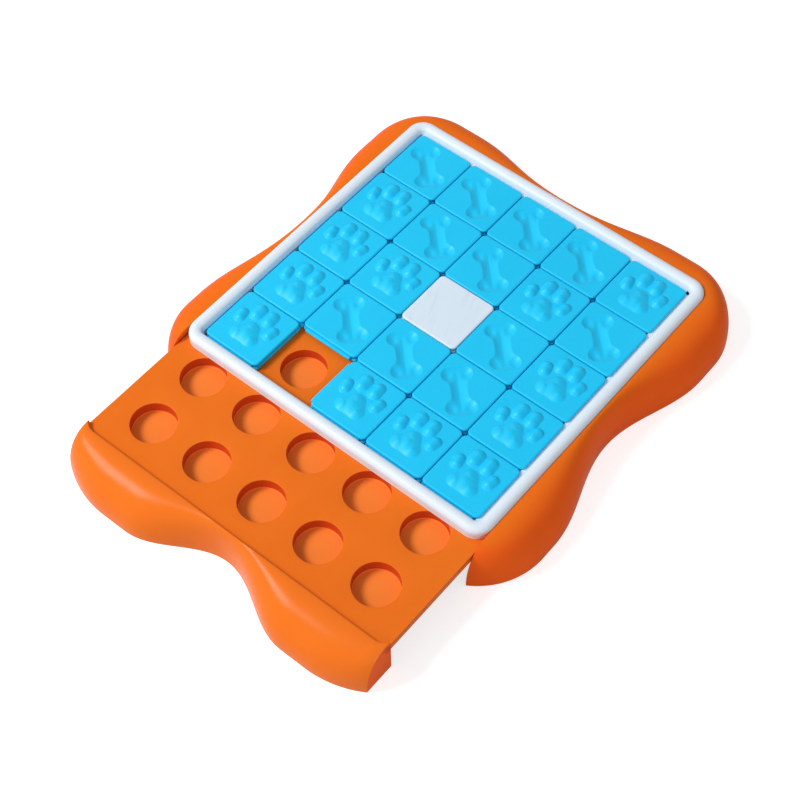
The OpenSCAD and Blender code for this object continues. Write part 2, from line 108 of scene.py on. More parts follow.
def moulded_finish():
    """Shared finish of the moulded pieces: slow tint drift, faint flow marks, fine satin skin."""
    group = bpy.data.node_groups.new("moulded_finish", "ShaderNodeTree")
    for label, kind, value in (("Colour", "NodeSocketColor", (0.8, 0.8, 0.8, 1.0)),
                               ("Drift", "NodeSocketColor", (0.7, 0.7, 0.7, 1.0)),
                               ("Grain", "NodeSocketFloat", 900.0),
                               ("Gloss", "NodeSocketFloat", 0.4),
                               ("Skin depth", "NodeSocketFloat", 0.1)):
        socket = group.interface.new_socket(label, in_out="INPUT", socket_type=kind)
        socket.default_value = value
    for label, kind in (("Colour", "NodeSocketColor"), ("Roughness", "NodeSocketFloat"),
                        ("Normal", "NodeSocketVector")):
        group.interface.new_socket(label, in_out="OUTPUT", socket_type=kind)
    into = group.nodes.new("NodeGroupInput").outputs
    end = group.nodes.new("NodeGroupOutput").inputs
    where = group.nodes.new("ShaderNodeTexCoord").outputs["Object"]
    slow = add_node(group, "ShaderNodeTexNoise", Vector=where, Scale=14.0, Detail=2.0)
    stretched = add_node(group, "ShaderNodeMapping", Vector=where, Scale=(30.0, 6.0, 30.0))
    flow = add_node(group, "ShaderNodeTexNoise", Vector=stretched.outputs[0], Scale=3.0,
                    Detail=4.0)
    tint = calc(group, "MULTIPLY_ADD", slow.outputs[0], 0.7,
                calc(group, "MULTIPLY", flow.outputs[0], 0.3))
    spread = add_node(group, "ShaderNodeMapRange", Value=tint, From_Min=0.3, From_Max=0.7)
    mix = add_node(group, "ShaderNodeMix", {"data_type": "RGBA"})
    link(group, spread.outputs[0], mix.inputs["Factor"])
    link(group, into["Colour"], mix.inputs[6])
    link(group, into["Drift"], mix.inputs[7])
    link(group, mix.outputs[2], end["Colour"])
    fine = add_node(group, "ShaderNodeTexNoise", Vector=where, Scale=into["Grain"], Detail=2.0)
    rough = calc(group, "MULTIPLY_ADD", calc(group, "SUBTRACT", fine.outputs[0], 0.5), 0.12,
                 into["Gloss"])
    rough = calc(group, "MULTIPLY_ADD", calc(group, "SUBTRACT", flow.outputs[0], 0.5), 0.10,
                 rough)
    link(group, rough, end["Roughness"])
    bump = add_node(group, "ShaderNodeBump", Strength=into["Skin depth"], Distance=0.0002,
                    Height=fine.outputs[0])
    link(group, bump.outputs[0], end["Normal"])
    return group


def painted_shading_by_height():
    """Shared painted light and shade by height: Low under a band of heights, Colour over it."""
    group = bpy.data.node_groups.new("painted_shading_by_height", "ShaderNodeTree")
    for label, kind in (("Colour", "NodeSocketColor"), ("Low", "NodeSocketColor"),
                        ("Band foot", "NodeSocketFloat"), ("Band top", "NodeSocketFloat")):
        group.interface.new_socket(label, in_out="INPUT", socket_type=kind)
    group.interface.new_socket("Colour", in_out="OUTPUT", socket_type="NodeSocketColor")
    into = group.nodes.new("NodeGroupInput").outputs
    end = group.nodes.new("NodeGroupOutput").inputs
    where = add_node(group, "ShaderNodeSeparateXYZ",
                     Vector=group.nodes.new("ShaderNodeTexCoord").outputs["Object"])
    height = add_node(group, "ShaderNodeMapRange", {"interpolation_type": "SMOOTHSTEP"},
                      Value=where.outputs[2], From_Min=into["Band foot"],
                      From_Max=into["Band top"])
    mix = add_node(group, "ShaderNodeMix", {"data_type": "RGBA"})
    link(group, height.outputs[0], mix.inputs["Factor"])
    link(group, into["Low"], mix.inputs[6])
    link(group, into["Colour"], mix.inputs[7])
    link(group, mix.outputs[2], end["Colour"])
    return group


finish = moulded_finish()
height_shading_group = painted_shading_by_height()


def moulded(name, colour, drift, gloss, depth=0.12, grain=900.0, inside=0.0, radius=(1, 1, 1),
            mirror=0.15, low=None, band=(0.012, 0.031)):
    """A plastic with the shared moulded finish, drifting between two tones.

    inside and radius say how much light goes in and how far each colour travels; low is the
    tone that takes over below a band of heights, where the callers paint shade with it, and in
    the wells light.
    """
    made = bpy.data.materials.new(name)
    made.use_nodes = True
    nodes = made.node_tree.nodes
    shader = nodes["Principled BSDF"]
    skin = nodes.new("ShaderNodeGroup")
    skin.node_tree = finish
    skin.inputs["Colour"].default_value = (*colour, 1.0)
    skin.inputs["Drift"].default_value = (*drift, 1.0)
    skin.inputs["Gloss"].default_value = gloss
    skin.inputs["Grain"].default_value = grain
    skin.inputs["Skin depth"].default_value = depth
    for label, target in (("Colour", "Base Color"), ("Roughness", "Roughness"),
                          ("Normal", "Normal")):
        made.node_tree.links.new(skin.outputs[label], shader.inputs[target])
    if low:
        tone = nodes.new("ShaderNodeGroup")
        tone.node_tree = height_shading_group
        tone.inputs["Low"].default_value = (*low, 1.0)
        tone.inputs["Band foot"].default_value, tone.inputs["Band top"].default_value = band
        link(made.node_tree, skin.outputs["Colour"], tone.inputs["Colour"])
        link(made.node_tree, tone.outputs["Colour"], shader.inputs["Base Color"])
    shader.inputs["Subsurface Weight"].default_value = inside
    shader.inputs["Subsurface Radius"].default_value = radius
    shader.inputs["Subsurface Scale"].default_value = 0.002
    shader.inputs["Specular IOR Level"].default_value = mirror
    return made


# The low tone is painted shade: the wall turns darker and redder from just under the rim down to
# its foot.
orange = moulded("orange_abs", (0.87, 0.200, 0.014), (0.85, 0.184, 0.012), 0.34,
                 inside=0.1, radius=(1.0, 0.2, 0.05), mirror=0.015, low=(1.0, 0.132, 0.014),
                 band=(0.0265, 0.0370))


def geometry_tree(name, sizes):
    """An empty geometry tree with named number inputs; gives tree, input sockets, output node."""
    tree = bpy.data.node_groups.new(name, "GeometryNodeTree")
    tree.interface.new_socket("Geometry", in_out="OUTPUT", socket_type="NodeSocketGeometry")
    for label, value in sizes.items():
        socket = tree.interface.new_socket(label, in_out="INPUT", socket_type="NodeSocketFloat")
        socket.default_value = value
    into = tree.nodes.new("NodeGroupInput")
    return tree, into.outputs, tree.nodes.new("NodeGroupOutput")


def bake(obj):
    """Turns what the modifiers make into the object's own plain mesh."""
    done = obj.evaluated_get(bpy.context.evaluated_depsgraph_get())
    mesh = bpy.data.meshes.new_from_object(done)
    obj.modifiers.clear()
    obj.data = mesh
    return obj


def grow(name, tree, sizes):
    """Runs a geometry tree on an empty mesh object with the named sizes and bakes it."""
    obj = bpy.data.objects.new(name, bpy.data.meshes.new(name))
    scene.collection.objects.link(obj)
    modifier = obj.modifiers.new(name, "NODES")
    modifier.node_group = tree
    for item in tree.interface.items_tree:
        if item.in_out == "INPUT" and item.name in sizes:
            modifier[item.identifier] = float(sizes[item.name])
    return bake(obj)


def lobe_swing(tree, place, low, high, half):
    """low at the waist, high from one crown outwards, a cosine between them."""
    along = calc(tree, "MINIMUM", calc(tree, "ABSOLUTE", place), half)
    angle = calc(tree, "MULTIPLY", calc(tree, "DIVIDE", along, half), math.pi)
    share = calc(tree, "MULTIPLY", calc(tree, "SUBTRACT", 1.0, calc(tree, "COSINE", angle)), 0.5)
    return calc(tree, "MULTIPLY_ADD", calc(tree, "SUBTRACT", high, low), share, low)


def wall_panel(tree, size, rim, foot, level):
    """Moves a grid onto the rounded wall between a rim line and a foot line."""
    angle = calc(tree, "MULTIPLY", level, math.pi / 2)
    power = calc(tree, "DIVIDE", 2.0, size["Fullness"])
    out = calc(tree, "POWER", calc(tree, "MAXIMUM", calc(tree, "SINE", angle), 0.0), power)
    up = calc(tree, "POWER", calc(tree, "MAXIMUM", calc(tree, "COSINE", angle), 0.0), power)
    x = calc(tree, "MULTIPLY_ADD", calc(tree, "SUBTRACT", foot[0], rim[0]), out, rim[0])
    y = calc(tree, "MULTIPLY_ADD", calc(tree, "SUBTRACT", foot[1], rim[1]), out, rim[1])
    rise = calc(tree, "SUBTRACT", size["Rim height"], size["Foot height"])
    z = calc(tree, "MULTIPLY_ADD", rise, up, size["Foot height"])
    return add_node(tree, "ShaderNodeCombineXYZ", X=x, Y=y, Z=z).outputs[0]


wall_sizes = {
    "Rim half": RIM_HALF, "Rim corner": RIM_CORNER, "Lobe half": LOBE_HALF,
    "Waist half": WAIST_HALF, "Crown place": CROWN_AT, "Foot corner": FOOT_ROUND,
    "Front shift": FRONT_SHIFT, "Fullness": FULLNESS, "Rim height": RIM_TOP,
    "Foot height": FOOT_Z,
}
tree, size, out = geometry_tree("lobed_wall", wall_sizes)
corner_at = calc(tree, "SUBTRACT", size["Rim half"], size["Rim corner"])
foot_at = calc(tree, "SUBTRACT", size["Lobe half"], size["Foot corner"])
front_at = calc(tree, "SUBTRACT", foot_at, size["Front shift"])
panels = {}
for part, steps in (("side", 120), ("back", 120), ("back corner", 40), ("front corner", 56)):
    grid = add_node(tree, "GeometryNodeMeshGrid", Size_X=2.0, Size_Y=1.0, Vertices_X=steps + 1,
                    Vertices_Y=41)
    place = add_node(tree, "ShaderNodeSeparateXYZ",
                     Vector=tree.nodes.new("GeometryNodeInputPosition").outputs[0])
    u = place.outputs[0]
    level = calc(tree, "ADD", place.outputs[1], 0.5)
    if part in ("side", "back"):
        straight = calc(tree, "MULTIPLY", corner_at, u)
        is_front = calc(tree, "LESS_THAN", u, 0.0) if part == "side" else 0.0
        half = calc(tree, "SUBTRACT", foot_at,
                    calc(tree, "MULTIPLY", size["Front shift"], is_front))
        along = calc(tree, "MULTIPLY", half, u)
        swing = lobe_swing(tree, along, size["Waist half"], size["Lobe half"],
                           size["Crown place"])
        rim = (size["Rim half"], straight)
        foot = (swing, along)
        if part == "back":
            rim, foot = rim[::-1], foot[::-1]
    else:
        sweep = math.radians(90 if part == "back corner" else FRONT_SWEEP)
        angle = calc(tree, "MULTIPLY", calc(tree, "MULTIPLY_ADD", u, 0.5, 0.5), sweep)
        side = calc(tree, "COSINE", angle)
        ahead = calc(tree, "SINE", angle)
        foot_y = foot_at
        if part == "front corner":
            ahead = calc(tree, "MULTIPLY", ahead, -1.0)
            foot_y = calc(tree, "MULTIPLY", front_at, -1.0)
        rim_y = calc(tree, "MULTIPLY", corner_at, -1.0 if part == "front corner" else 1.0)
        rim = (calc(tree, "MULTIPLY_ADD", size["Rim corner"], side, corner_at),
               calc(tree, "MULTIPLY_ADD", size["Rim corner"], ahead, rim_y))
        foot = (calc(tree, "MULTIPLY_ADD", size["Foot corner"], side, foot_at),
                calc(tree, "MULTIPLY_ADD", size["Foot corner"], ahead, foot_y))
    moved = add_node(tree, "GeometryNodeSetPosition", Geometry=grid.outputs[0],
                     Position=wall_panel(tree, size, rim, foot, level))
    panels[part] = moved.outputs[0]
half_wall = tree.nodes.new("GeometryNodeJoinGeometry")
for part in ("side", "back corner", "front corner"):
    tree.links.new(panels[part], half_wall.inputs[0])
other_half = add_node(tree, "GeometryNodeTransform", Geometry=half_wall.outputs[0],
                      Scale=(-1.0, 1.0, 1.0))
whole = tree.nodes.new("GeometryNodeJoinGeometry")
for socket in (half_wall.outputs[0], other_half.outputs[0], panels["back"]):
    tree.links.new(socket, whole.inputs[0])
merged = add_node(tree, "GeometryNodeMergeByDistance", Geometry=whole.outputs[0], Distance=0.01)
metres = add_node(tree, "GeometryNodeTransform", Geometry=merged.outputs[0],
                  Scale=(MM, MM, MM))
real = add_node(tree, "GeometryNodeRealizeInstances", Geometry=metres.outputs[0])
painted = add_node(tree, "GeometryNodeSetMaterial", Geometry=real.outputs[0])
painted.inputs["Material"].default_value = orange
tree.links.new(painted.outputs[0], out.inputs[0])


def turn_out(mesh):
    """Makes the faces of an open surface agree and look up and out."""
    work = bmesh.new()
    work.from_mesh(mesh)
    bmesh.ops.recalc_face_normals(work, faces=work.faces)
    if sum(face.normal.z * face.calc_area() for face in work.faces) < 0:
        bmesh.ops.reverse_faces(work, faces=work.faces)
    work.to_mesh(mesh)
    work.free()


def shade(obj, degrees=35):
    """Smooth shading that keeps edges sharper than the angle."""
    obj.data.polygons.foreach_set("use_smooth", [True] * len(obj.data.polygons))
    obj.data.set_sharp_from_angle(angle=math.radians(degrees))
    return obj


def solid(name, points, faces, material):
    """A mesh object from points in millimetres."""
    mesh = bpy.data.meshes.new(name)
    mesh.from_pydata([Vector(p) * MM for p in points], [], faces)
    mesh.materials.append(material)
    obj = bpy.data.objects.new(name, mesh)
    scene.collection.objects.link(obj)
    return obj


def prism(name, outline, low, high, material):
    """An upright solid on a plan outline that runs counter-clockwise."""
    n = len(outline)
    points = [(x, y, low) for x, y in outline] + [(x, y, high) for x, y in outline]
    sides = [(i, (i + 1) % n, n + (i + 1) % n, n + i) for i in range(n)]
    return solid(name, points, [tuple(range(n - 1, -1, -1)), tuple(range(n, 2 * n))] + sides,
                 material)


def block(name, low, high, material):
    """A plain block between two corners."""
    (x0, y0, z0), (x1, y1, z1) = low, high
    return prism(name, [(x0, y0), (x1, y0), (x1, y1), (x0, y1)], z0, z1, material)


wall = grow("base_wall", tree, wall_sizes)
turn_out(wall.data)
thicken = wall.modifiers.new("wall", "SOLIDIFY")
thicken.thickness = WALL * MM
thicken.offset = -1
bake(wall)
bay_cut = block("bay_cut", (-RIM_HALF, -LOBE_HALF - 60, -5),
                (RIM_HALF, -CORNER_AT, RIM_TOP + 25), orange)
cut = wall.modifiers.new("bay", "BOOLEAN")
cut.object = bay_cut
cut.solver = "EXACT"
bake(wall)
bpy.data.objects.remove(bay_cut)
shade(wall, 50)


# --- Drawer bay
# Straight ribs moulded inside the wall: side and back walls, a flange that carries the frame,
# ledges that carry the drawer, a stop block at each front end, and a cheek that closes the
# hollow wall where it is cut off.
BAY_HALF = 118.4
BAY_WALL = 2.0
BAY_TOP = 31.5
FLOOR_TOP = 2.8
FLANGE_IN, FLANGE_OUT = 112.0, 119.0
FLANGE_TOP = 30.0
RAIL_BOTTOM = frame_low[2]
LEDGE_IN, LEDGE_OUT = 112.5, 119.5
LEDGE_TOP = 21.1
LEDGE_DEEP = 2.0
STOP_IN, STOP_OUT = 108.5, 113.5
STOP_LOW, STOP_HIGH = 19.1, 23.9
STOP_LONG = 6.3
CHEEK_IN, CHEEK_OUT = 118.5, 120.3
CHEEK_INSET = 1.2
CHEEK_LAP = 4.0
CHEEK_TOP = 32.0


def join(name, objects):
    """Puts several meshes into the first one's object."""
    with bpy.context.temp_override(active_object=objects[0], selected_editable_objects=objects,
                                   selected_objects=objects, object=objects[0]):
        bpy.ops.object.join()
    objects[0].name = name
    return objects[0]


def close_up(obj):
    """Makes the faces of a closed solid look outwards."""
    work = bmesh.new()
    work.from_mesh(obj.data)
    bmesh.ops.recalc_face_normals(work, faces=work.faces)
    work.to_mesh(obj.data)
    work.free()
    return obj


def soften(obj, width, segments=2, degrees=40):
    """A small round on every edge sharper than the angle."""
    bevel = obj.modifiers.new("edge", "BEVEL")
    bevel.width = width * MM
    bevel.segments = segments
    bevel.limit_method = "ANGLE"
    bevel.angle_limit = math.radians(degrees)
    return bake(obj)


def arc(cx, cy, r, start, end, steps):
    """Points along an arc, from one angle in degrees to another."""
    angles = np.radians(np.linspace(start, end, steps + 1))
    return [(cx + r * math.cos(a), cy + r * math.sin(a)) for a in angles]


def horseshoe(inner, outer):
    """Plan of a band round the two sides and the back, open at the front."""
    at, r_in, r_out = CORNER_AT, inner - CORNER_AT, outer - CORNER_AT
    return ([(outer, -at)] + arc(at, at, r_out, 0, 90, 12) + arc(-at, at, r_out, 90, 180, 12)
            + [(-outer, -at), (-inner, -at)]
            + arc(-at, at, r_in, 180, 90, 12) + arc(at, at, r_in, 90, 0, 12) + [(inner, -at)])


def corner_profile(x, inset):
    """The rounded wall's section where the front corner is cut in the plane x.

    Level by level, halving the corner's sweep finds the angle at which the wall crosses x.
    """
    spots = []
    foot_at = LOBE_HALF - FOOT_ROUND
    foot_y = -(foot_at - FRONT_SHIFT)
    for step in range(33):
        t = math.pi / 2 * step / 32
        share = math.sin(t) ** (2 / FULLNESS)
        low, high = 0.0, math.radians(FRONT_SWEEP)
        for _ in range(40):
            a = (low + high) / 2
            rx = CORNER_AT + RIM_CORNER * math.cos(a)
            fx = foot_at + FOOT_ROUND * math.cos(a)
            if rx + (fx - rx) * share > x:
                low = a
            else:
                high = a
        ry = -CORNER_AT - RIM_CORNER * math.sin(a)
        fy = foot_y - FOOT_ROUND * math.sin(a)
        z = FOOT_Z + (RIM_TOP - FOOT_Z - inset) * math.cos(t) ** (2 / FULLNESS)
        spots.append((ry + (fy - ry) * share + inset, z))
    return spots


moulding = [
    prism("bay_wall", horseshoe(BAY_HALF, BAY_HALF + BAY_WALL), FLOOR_TOP, BAY_TOP, orange),
    prism("flange", horseshoe(FLANGE_IN, FLANGE_OUT), RAIL_BOTTOM, FLANGE_TOP, orange),
]
for side in (-1, 1):
    x0, x1 = sorted((side * LEDGE_IN, side * LEDGE_OUT))
    moulding.append(block("ledge", (x0, -CORNER_AT, LEDGE_TOP - LEDGE_DEEP),
                          (x1, CORNER_AT, LEDGE_TOP), orange))
    x0, x1 = sorted((side * STOP_IN, side * STOP_OUT))
    moulding.append(block("stop", (x0, -CORNER_AT, STOP_LOW),
                          (x1, -CORNER_AT + STOP_LONG, STOP_HIGH), orange))
    section = [(y, z) for y, z in corner_profile(CHEEK_IN + 0.1, CHEEK_INSET) if z < CHEEK_TOP]
    face = [(CHEEK_LAP - CORNER_AT, FOOT_Z), (CHEEK_LAP - CORNER_AT, section[0][1])] + section
    n = len(face)
    points = [(side * x, y, z) for x in (CHEEK_IN, CHEEK_OUT) for y, z in face]
    rim = [(i, (i + 1) % n, n + (i + 1) % n, n + i) for i in range(n)]
    moulding.append(solid("cheek", points, [tuple(range(n)),
                                            tuple(range(2 * n - 1, n - 1, -1))] + rim, orange))
for piece in moulding:
    close_up(piece)
bay = shade(soften(join("base_bay", moulding), 0.3), 40)
for piece in (wall, bay):
    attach(piece, "base")
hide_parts("base_shell")
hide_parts("base_shell")

# --- Floor plate, screws and feet
# A flat orange plate closes the base from below. Six zinc-plated screws hold it to the bosses
# in the lobes, and five rubber pads are pressed into its round recesses.
rubber = moulded("foot_rubber", (0.045, 0.045, 0.048), (0.03, 0.03, 0.032), 0.75, depth=0.3,
                 grain=1500.0)
zinc = moulded("zinc_plate", (0.62, 0.63, 0.66), (0.5, 0.51, 0.53), 0.32, depth=0.05)
zinc.node_tree.nodes["Principled BSDF"].inputs["Metallic"].default_value = 1.0
under = moulded("orange_under", (0.86, 0.16, 0.012), (0.80, 0.135, 0.008), 0.5)
for node, material in (("bottom_plate", under), ("bottom_screws", zinc),
                       ("rubber_feet", rubber)):
    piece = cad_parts[node]
    piece.data.materials.clear()
    piece.data.materials.append(material)

# --- Frame
# A square white frame with a round bead, moulded in glossy ABS and staked onto the flange of
# the base. Its inner wall holds the tiles by a groove on two sides and a tongue on the other two.
DECK = corners("tile_r3_c3")[1][2]
BEAD = 8.4
BEAD_TOP = frame_high[2]
BEAD_OUT_FOOT, BEAD_IN_FOOT = DECK - 1.0, DECK + 0.2
WALL_IN, WALL_FOOT = 2.8, 5.8
GROOVE_LOW, GROOVE_HIGH, GROOVE_BACK = 29.7, 31.7, 3.9
RAIL_HALF = 108.5
TONGUE_SHORT = 0.8
SKIRT_CORNER = 4.5
TONGUE_IN, TONGUE_ROOT = 105.9, 110.0
TONGUE_LOW, TONGUE_HIGH = 29.9, 31.5
white = moulded("white_abs", (0.80, 0.885, 0.98), (0.76, 0.85, 0.95), 0.28, depth=0.05,
                inside=0.1, radius=(0.8, 0.9, 1.0), mirror=0.20)


def bead_section(foot):
    """Bead, wall and groove of the frame, x measured from the middle of the corner."""
    w = BEAD / 2
    mid = FRAME_CORNER - w
    spots = [(FRAME_CORNER, foot), (FRAME_CORNER, BEAD_OUT_FOOT - 0.5)]
    for step in range(37):
        a = math.pi * step / 36
        base = BEAD_OUT_FOOT if step < 18 else BEAD_IN_FOOT
        spots.append((mid + w * math.cos(a), base + (BEAD_TOP - base) * math.sin(a)))
    return spots + [(WALL_IN, GROOVE_HIGH + 0.6), (WALL_IN, GROOVE_HIGH),
                    (GROOVE_BACK, GROOVE_HIGH), (GROOVE_BACK, GROOVE_LOW),
                    (WALL_IN, GROOVE_LOW), (WALL_IN, RAIL_BOTTOM), (WALL_FOOT, RAIL_BOTTOM),
                    (WALL_FOOT, foot)]


bead_line = solid("bead_section", [(x - FRAME_CORNER + BEAD / 2, -z, 0)
                                  for x, z in bead_section(FLANGE_TOP)], [], white)
n = len(bead_line.data.vertices)
bead_line.data.edges.add(n)
for i in range(n):
    bead_line.data.edges[i].vertices = (i, (i + 1) % n)
frame_sizes = {"Half side": FRAME_HALF * MM, "Corner": FRAME_CORNER * MM, "Bead": BEAD * MM,
               "Corner steps": 16.0}
tree, size, out = geometry_tree("frame_ring", frame_sizes)
inset = calc(tree, "MULTIPLY", size["Bead"], 0.5)
side = calc(tree, "MULTIPLY", calc(tree, "SUBTRACT", size["Half side"], inset), 2.0)
square = add_node(tree, "GeometryNodeCurvePrimitiveQuadrilateral", Width=side, Height=side)
rounded = add_node(tree, "GeometryNodeFilletCurve", {"mode": "POLY"}, Curve=square.outputs[0],
                   Radius=calc(tree, "SUBTRACT", size["Corner"], inset),
                   Count=size["Corner steps"])
section = add_node(tree, "GeometryNodeObjectInfo")
section.inputs["Object"].default_value = bead_line
line = add_node(tree, "GeometryNodeMeshToCurve", Mesh=section.outputs["Geometry"])
swept = add_node(tree, "GeometryNodeCurveToMesh", Curve=rounded.outputs[0],
                 Profile_Curve=line.outputs[0])
real = add_node(tree, "GeometryNodeRealizeInstances", Geometry=swept.outputs[0])
painted = add_node(tree, "GeometryNodeSetMaterial", Geometry=real.outputs[0])
painted.inputs["Material"].default_value = white
tree.links.new(painted.outputs[0], out.inputs[0])
bead = grow("frame_bead", tree, frame_sizes)
bpy.data.objects.remove(bead_line)
close_up(bead)
skirt_plan = (arc(-CORNER_AT, -CORNER_AT, FRAME_CORNER, 180, 270, 16)
              + arc(CORNER_AT, -CORNER_AT, FRAME_CORNER, 270, 360, 16)
              + arc(CORNER_AT, -CORNER_AT, SKIRT_CORNER, 360, 270, 6)
              + arc(-CORNER_AT, -CORNER_AT, SKIRT_CORNER, 270, 180, 6))
skirt = prism("front_skirt", skirt_plan, RAIL_BOTTOM, FLANGE_TOP + 0.4, white)
near_end = TONGUE_SHORT - RAIL_HALF
tongues = [block("tongue_right", (TONGUE_IN, near_end, TONGUE_LOW),
                 (TONGUE_ROOT, RAIL_HALF, TONGUE_HIGH), white),
           block("tongue_back", (near_end, TONGUE_IN, TONGUE_LOW),
                 (RAIL_HALF, TONGUE_ROOT, TONGUE_HIGH), white)]
bezel = shade(join("frame_bezel", [bead, skirt] + tongues), 40)
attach(bezel, "base")
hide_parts("frame")

# --- Drawer
# One orange moulding: a flat tray hung with twenty-five round wells, with downturned edges, and
# a hollow lobed lip across the front that carries on the line of the base.
OUT = 83.6
drawer_low, drawer_high = corners("drawer")
TRAY_HALF = drawer_high[0]
TRAY_TOP = 27.4
TRAY_PLATE = 2.0
WELL_R = 14.5
WELL_DEPTH = 8.0
WELL_WALL = 1.6
WELL_PITCH = 43.6
SETBACK = 3.2
LIP_AT = -FRAME_HALF - 0.4
LIP_CORNER = 9.0
LIP_TURN = TRAY_HALF + 1.5 - LIP_CORNER
LIP_TOP = TRAY_TOP + 3.2
LIP_CROWN = -drawer_low[1] - OUT - FRAME_HALF
LIP_WAIST, LIP_CROWN_AT = 5.4, 62.0
LIP_ROUND_AT, LIP_FOOT_ROUND = 80.0, 70.0
TRAY_BACK = drawer_high[1] + OUT
EDGE_LOW, EDGE_HIGH, EDGE_WALL = 21.4, 26.4, 2.0
# The low tones of the drawer and the lip are painted shade: downturned edges, undersides and the
# foot of the lip turn darker and redder.
drawer_plastic = moulded("drawer_abs", (0.85, 0.180, 0.016), (0.83, 0.166, 0.014), 0.30,
                         inside=0.1, radius=(1.0, 0.2, 0.05), mirror=0.04,
                         low=(0.88, 0.125, 0.012), band=(0.016, 0.0272))
lip_plastic = moulded("lip_abs", (0.865, 0.186, 0.016), (0.85, 0.174, 0.014), 0.24,
                      inside=0.1, radius=(1.0, 0.2, 0.05), mirror=0.09,
                      low=(0.88, 0.175, 0.011))
# Painted light and shade in the wells: their walls are painted darker and redder than the tray,
# as in shade, and the low tone paints their floors lighter, as lit.
painted_well_shade = moulded("well_painted_light_shade", (0.62, 0.070, 0.012), (0.58, 0.062, 0.010), 0.34,
                       mirror=0.05, low=(0.95, 0.240, 0.040), band=(0.0196, 0.0205))


def well_cell(name, material, around=96):
    """One square of the tray with its well: rounded mouth, wall, coved floor, and the outside."""
    half = WELL_PITCH / 2
    angles = [2 * math.pi * i / around for i in range(around)]
    square = []
    for a in angles:
        c, s = math.cos(a), math.sin(a)
        k = half / max(abs(c), abs(s))
        square.append((k * c, k * s))
    rows = [[(x, y, TRAY_TOP) for x, y in square]]
    mouth, cove = 0.45, 0.7
    profile = [(WELL_R + mouth * (1 - math.sin(a)), -mouth * (1 - math.cos(a)))
               for a in np.radians([0, 22, 45, 68, 90])]
    profile += [(WELL_R - cove * (1 - math.cos(a)), -WELL_DEPTH + cove * (1 - math.sin(a)))
                for a in np.radians([0, 15, 30, 45, 60, 75, 90])]
    profile.append((WELL_R * 0.5, -WELL_DEPTH))
    for r, z in profile:
        rows.append([(r * math.cos(a), r * math.sin(a), TRAY_TOP + z) for a in angles])
    points = [p for row in rows for p in row]
    n = around
    faces = []
    for row in range(len(rows) - 1):
        for i in range(n):
            j = (i + 1) % n
            faces.append((row * n + i, row * n + j, (row + 1) * n + j, (row + 1) * n + i))
    points.append((0, 0, TRAY_TOP - WELL_DEPTH))
    last = (len(rows) - 1) * n
    faces += [(last + i, last + (i + 1) % n, len(points) - 1) for i in range(n)]
    # the outside of the cup, seen from below
    outer = [(WELL_R + WELL_WALL, -TRAY_PLATE), (WELL_R + WELL_WALL, -WELL_DEPTH + 0.4),
             (WELL_R + 0.6, -WELL_DEPTH - WELL_WALL + 0.5),
             (WELL_R - 0.9, -WELL_DEPTH - WELL_WALL)]
    start = len(points)
    rows_out = [[(x, y, TRAY_TOP - TRAY_PLATE) for x, y in square]]
    for r, z in outer:
        rows_out.append([(r * math.cos(a), r * math.sin(a), TRAY_TOP + z) for a in angles])
    points += [p for row in rows_out for p in row]
    for row in range(len(rows_out) - 1):
        for i in range(n):
            j = (i + 1) % n
            faces.append((start + row * n + i, start + (row + 1) * n + i,
                          start + (row + 1) * n + j, start + row * n + j))
    last = start + (len(rows_out) - 1) * n
    faces.append(tuple(last + n - 1 - i for i in range(n)))
    cell = solid(name, points, faces, material)
    work = bmesh.new()
    work.from_mesh(cell.data)
    bmesh.ops.remove_doubles(work, verts=work.verts, dist=1e-6)
    bmesh.ops.recalc_face_normals(work, faces=work.faces)
    work.to_mesh(cell.data)
    work.free()
    return cell


cell = well_cell("well_cell", drawer_plastic)
grid_sizes = {"Pitch": WELL_PITCH * MM, "Wells": 5.0, "Setback": SETBACK * MM,
              "Well radius": (WELL_R + 0.1) * MM,
              "Well floor": (TRAY_TOP - WELL_DEPTH - 0.05) * MM}
tree, size, out = geometry_tree("well_grid", grid_sizes)
span = calc(tree, "MULTIPLY", size["Pitch"], calc(tree, "SUBTRACT", size["Wells"], 1.0))
spots = add_node(tree, "GeometryNodeMeshGrid", Size_X=span, Size_Y=span,
                 Vertices_X=size["Wells"], Vertices_Y=size["Wells"])
back = add_node(tree, "ShaderNodeCombineXYZ", Y=calc(tree, "MULTIPLY", size["Setback"], -1.0))
centres = add_node(tree, "GeometryNodeTransform", Geometry=spots.outputs[0],
                   Translation=back.outputs[0])
info = add_node(tree, "GeometryNodeObjectInfo")
info.inputs["Object"].default_value = cell
copies = add_node(tree, "GeometryNodeInstanceOnPoints", Points=centres.outputs[0],
                  Instance=info.outputs["Geometry"])
real = add_node(tree, "GeometryNodeRealizeInstances", Geometry=copies.outputs[0])
one = add_node(tree, "GeometryNodeMergeByDistance", Geometry=real.outputs[0], Distance=0.00002)
painted = add_node(tree, "GeometryNodeSetMaterial", Geometry=one.outputs[0])
painted.inputs["Material"].default_value = drawer_plastic
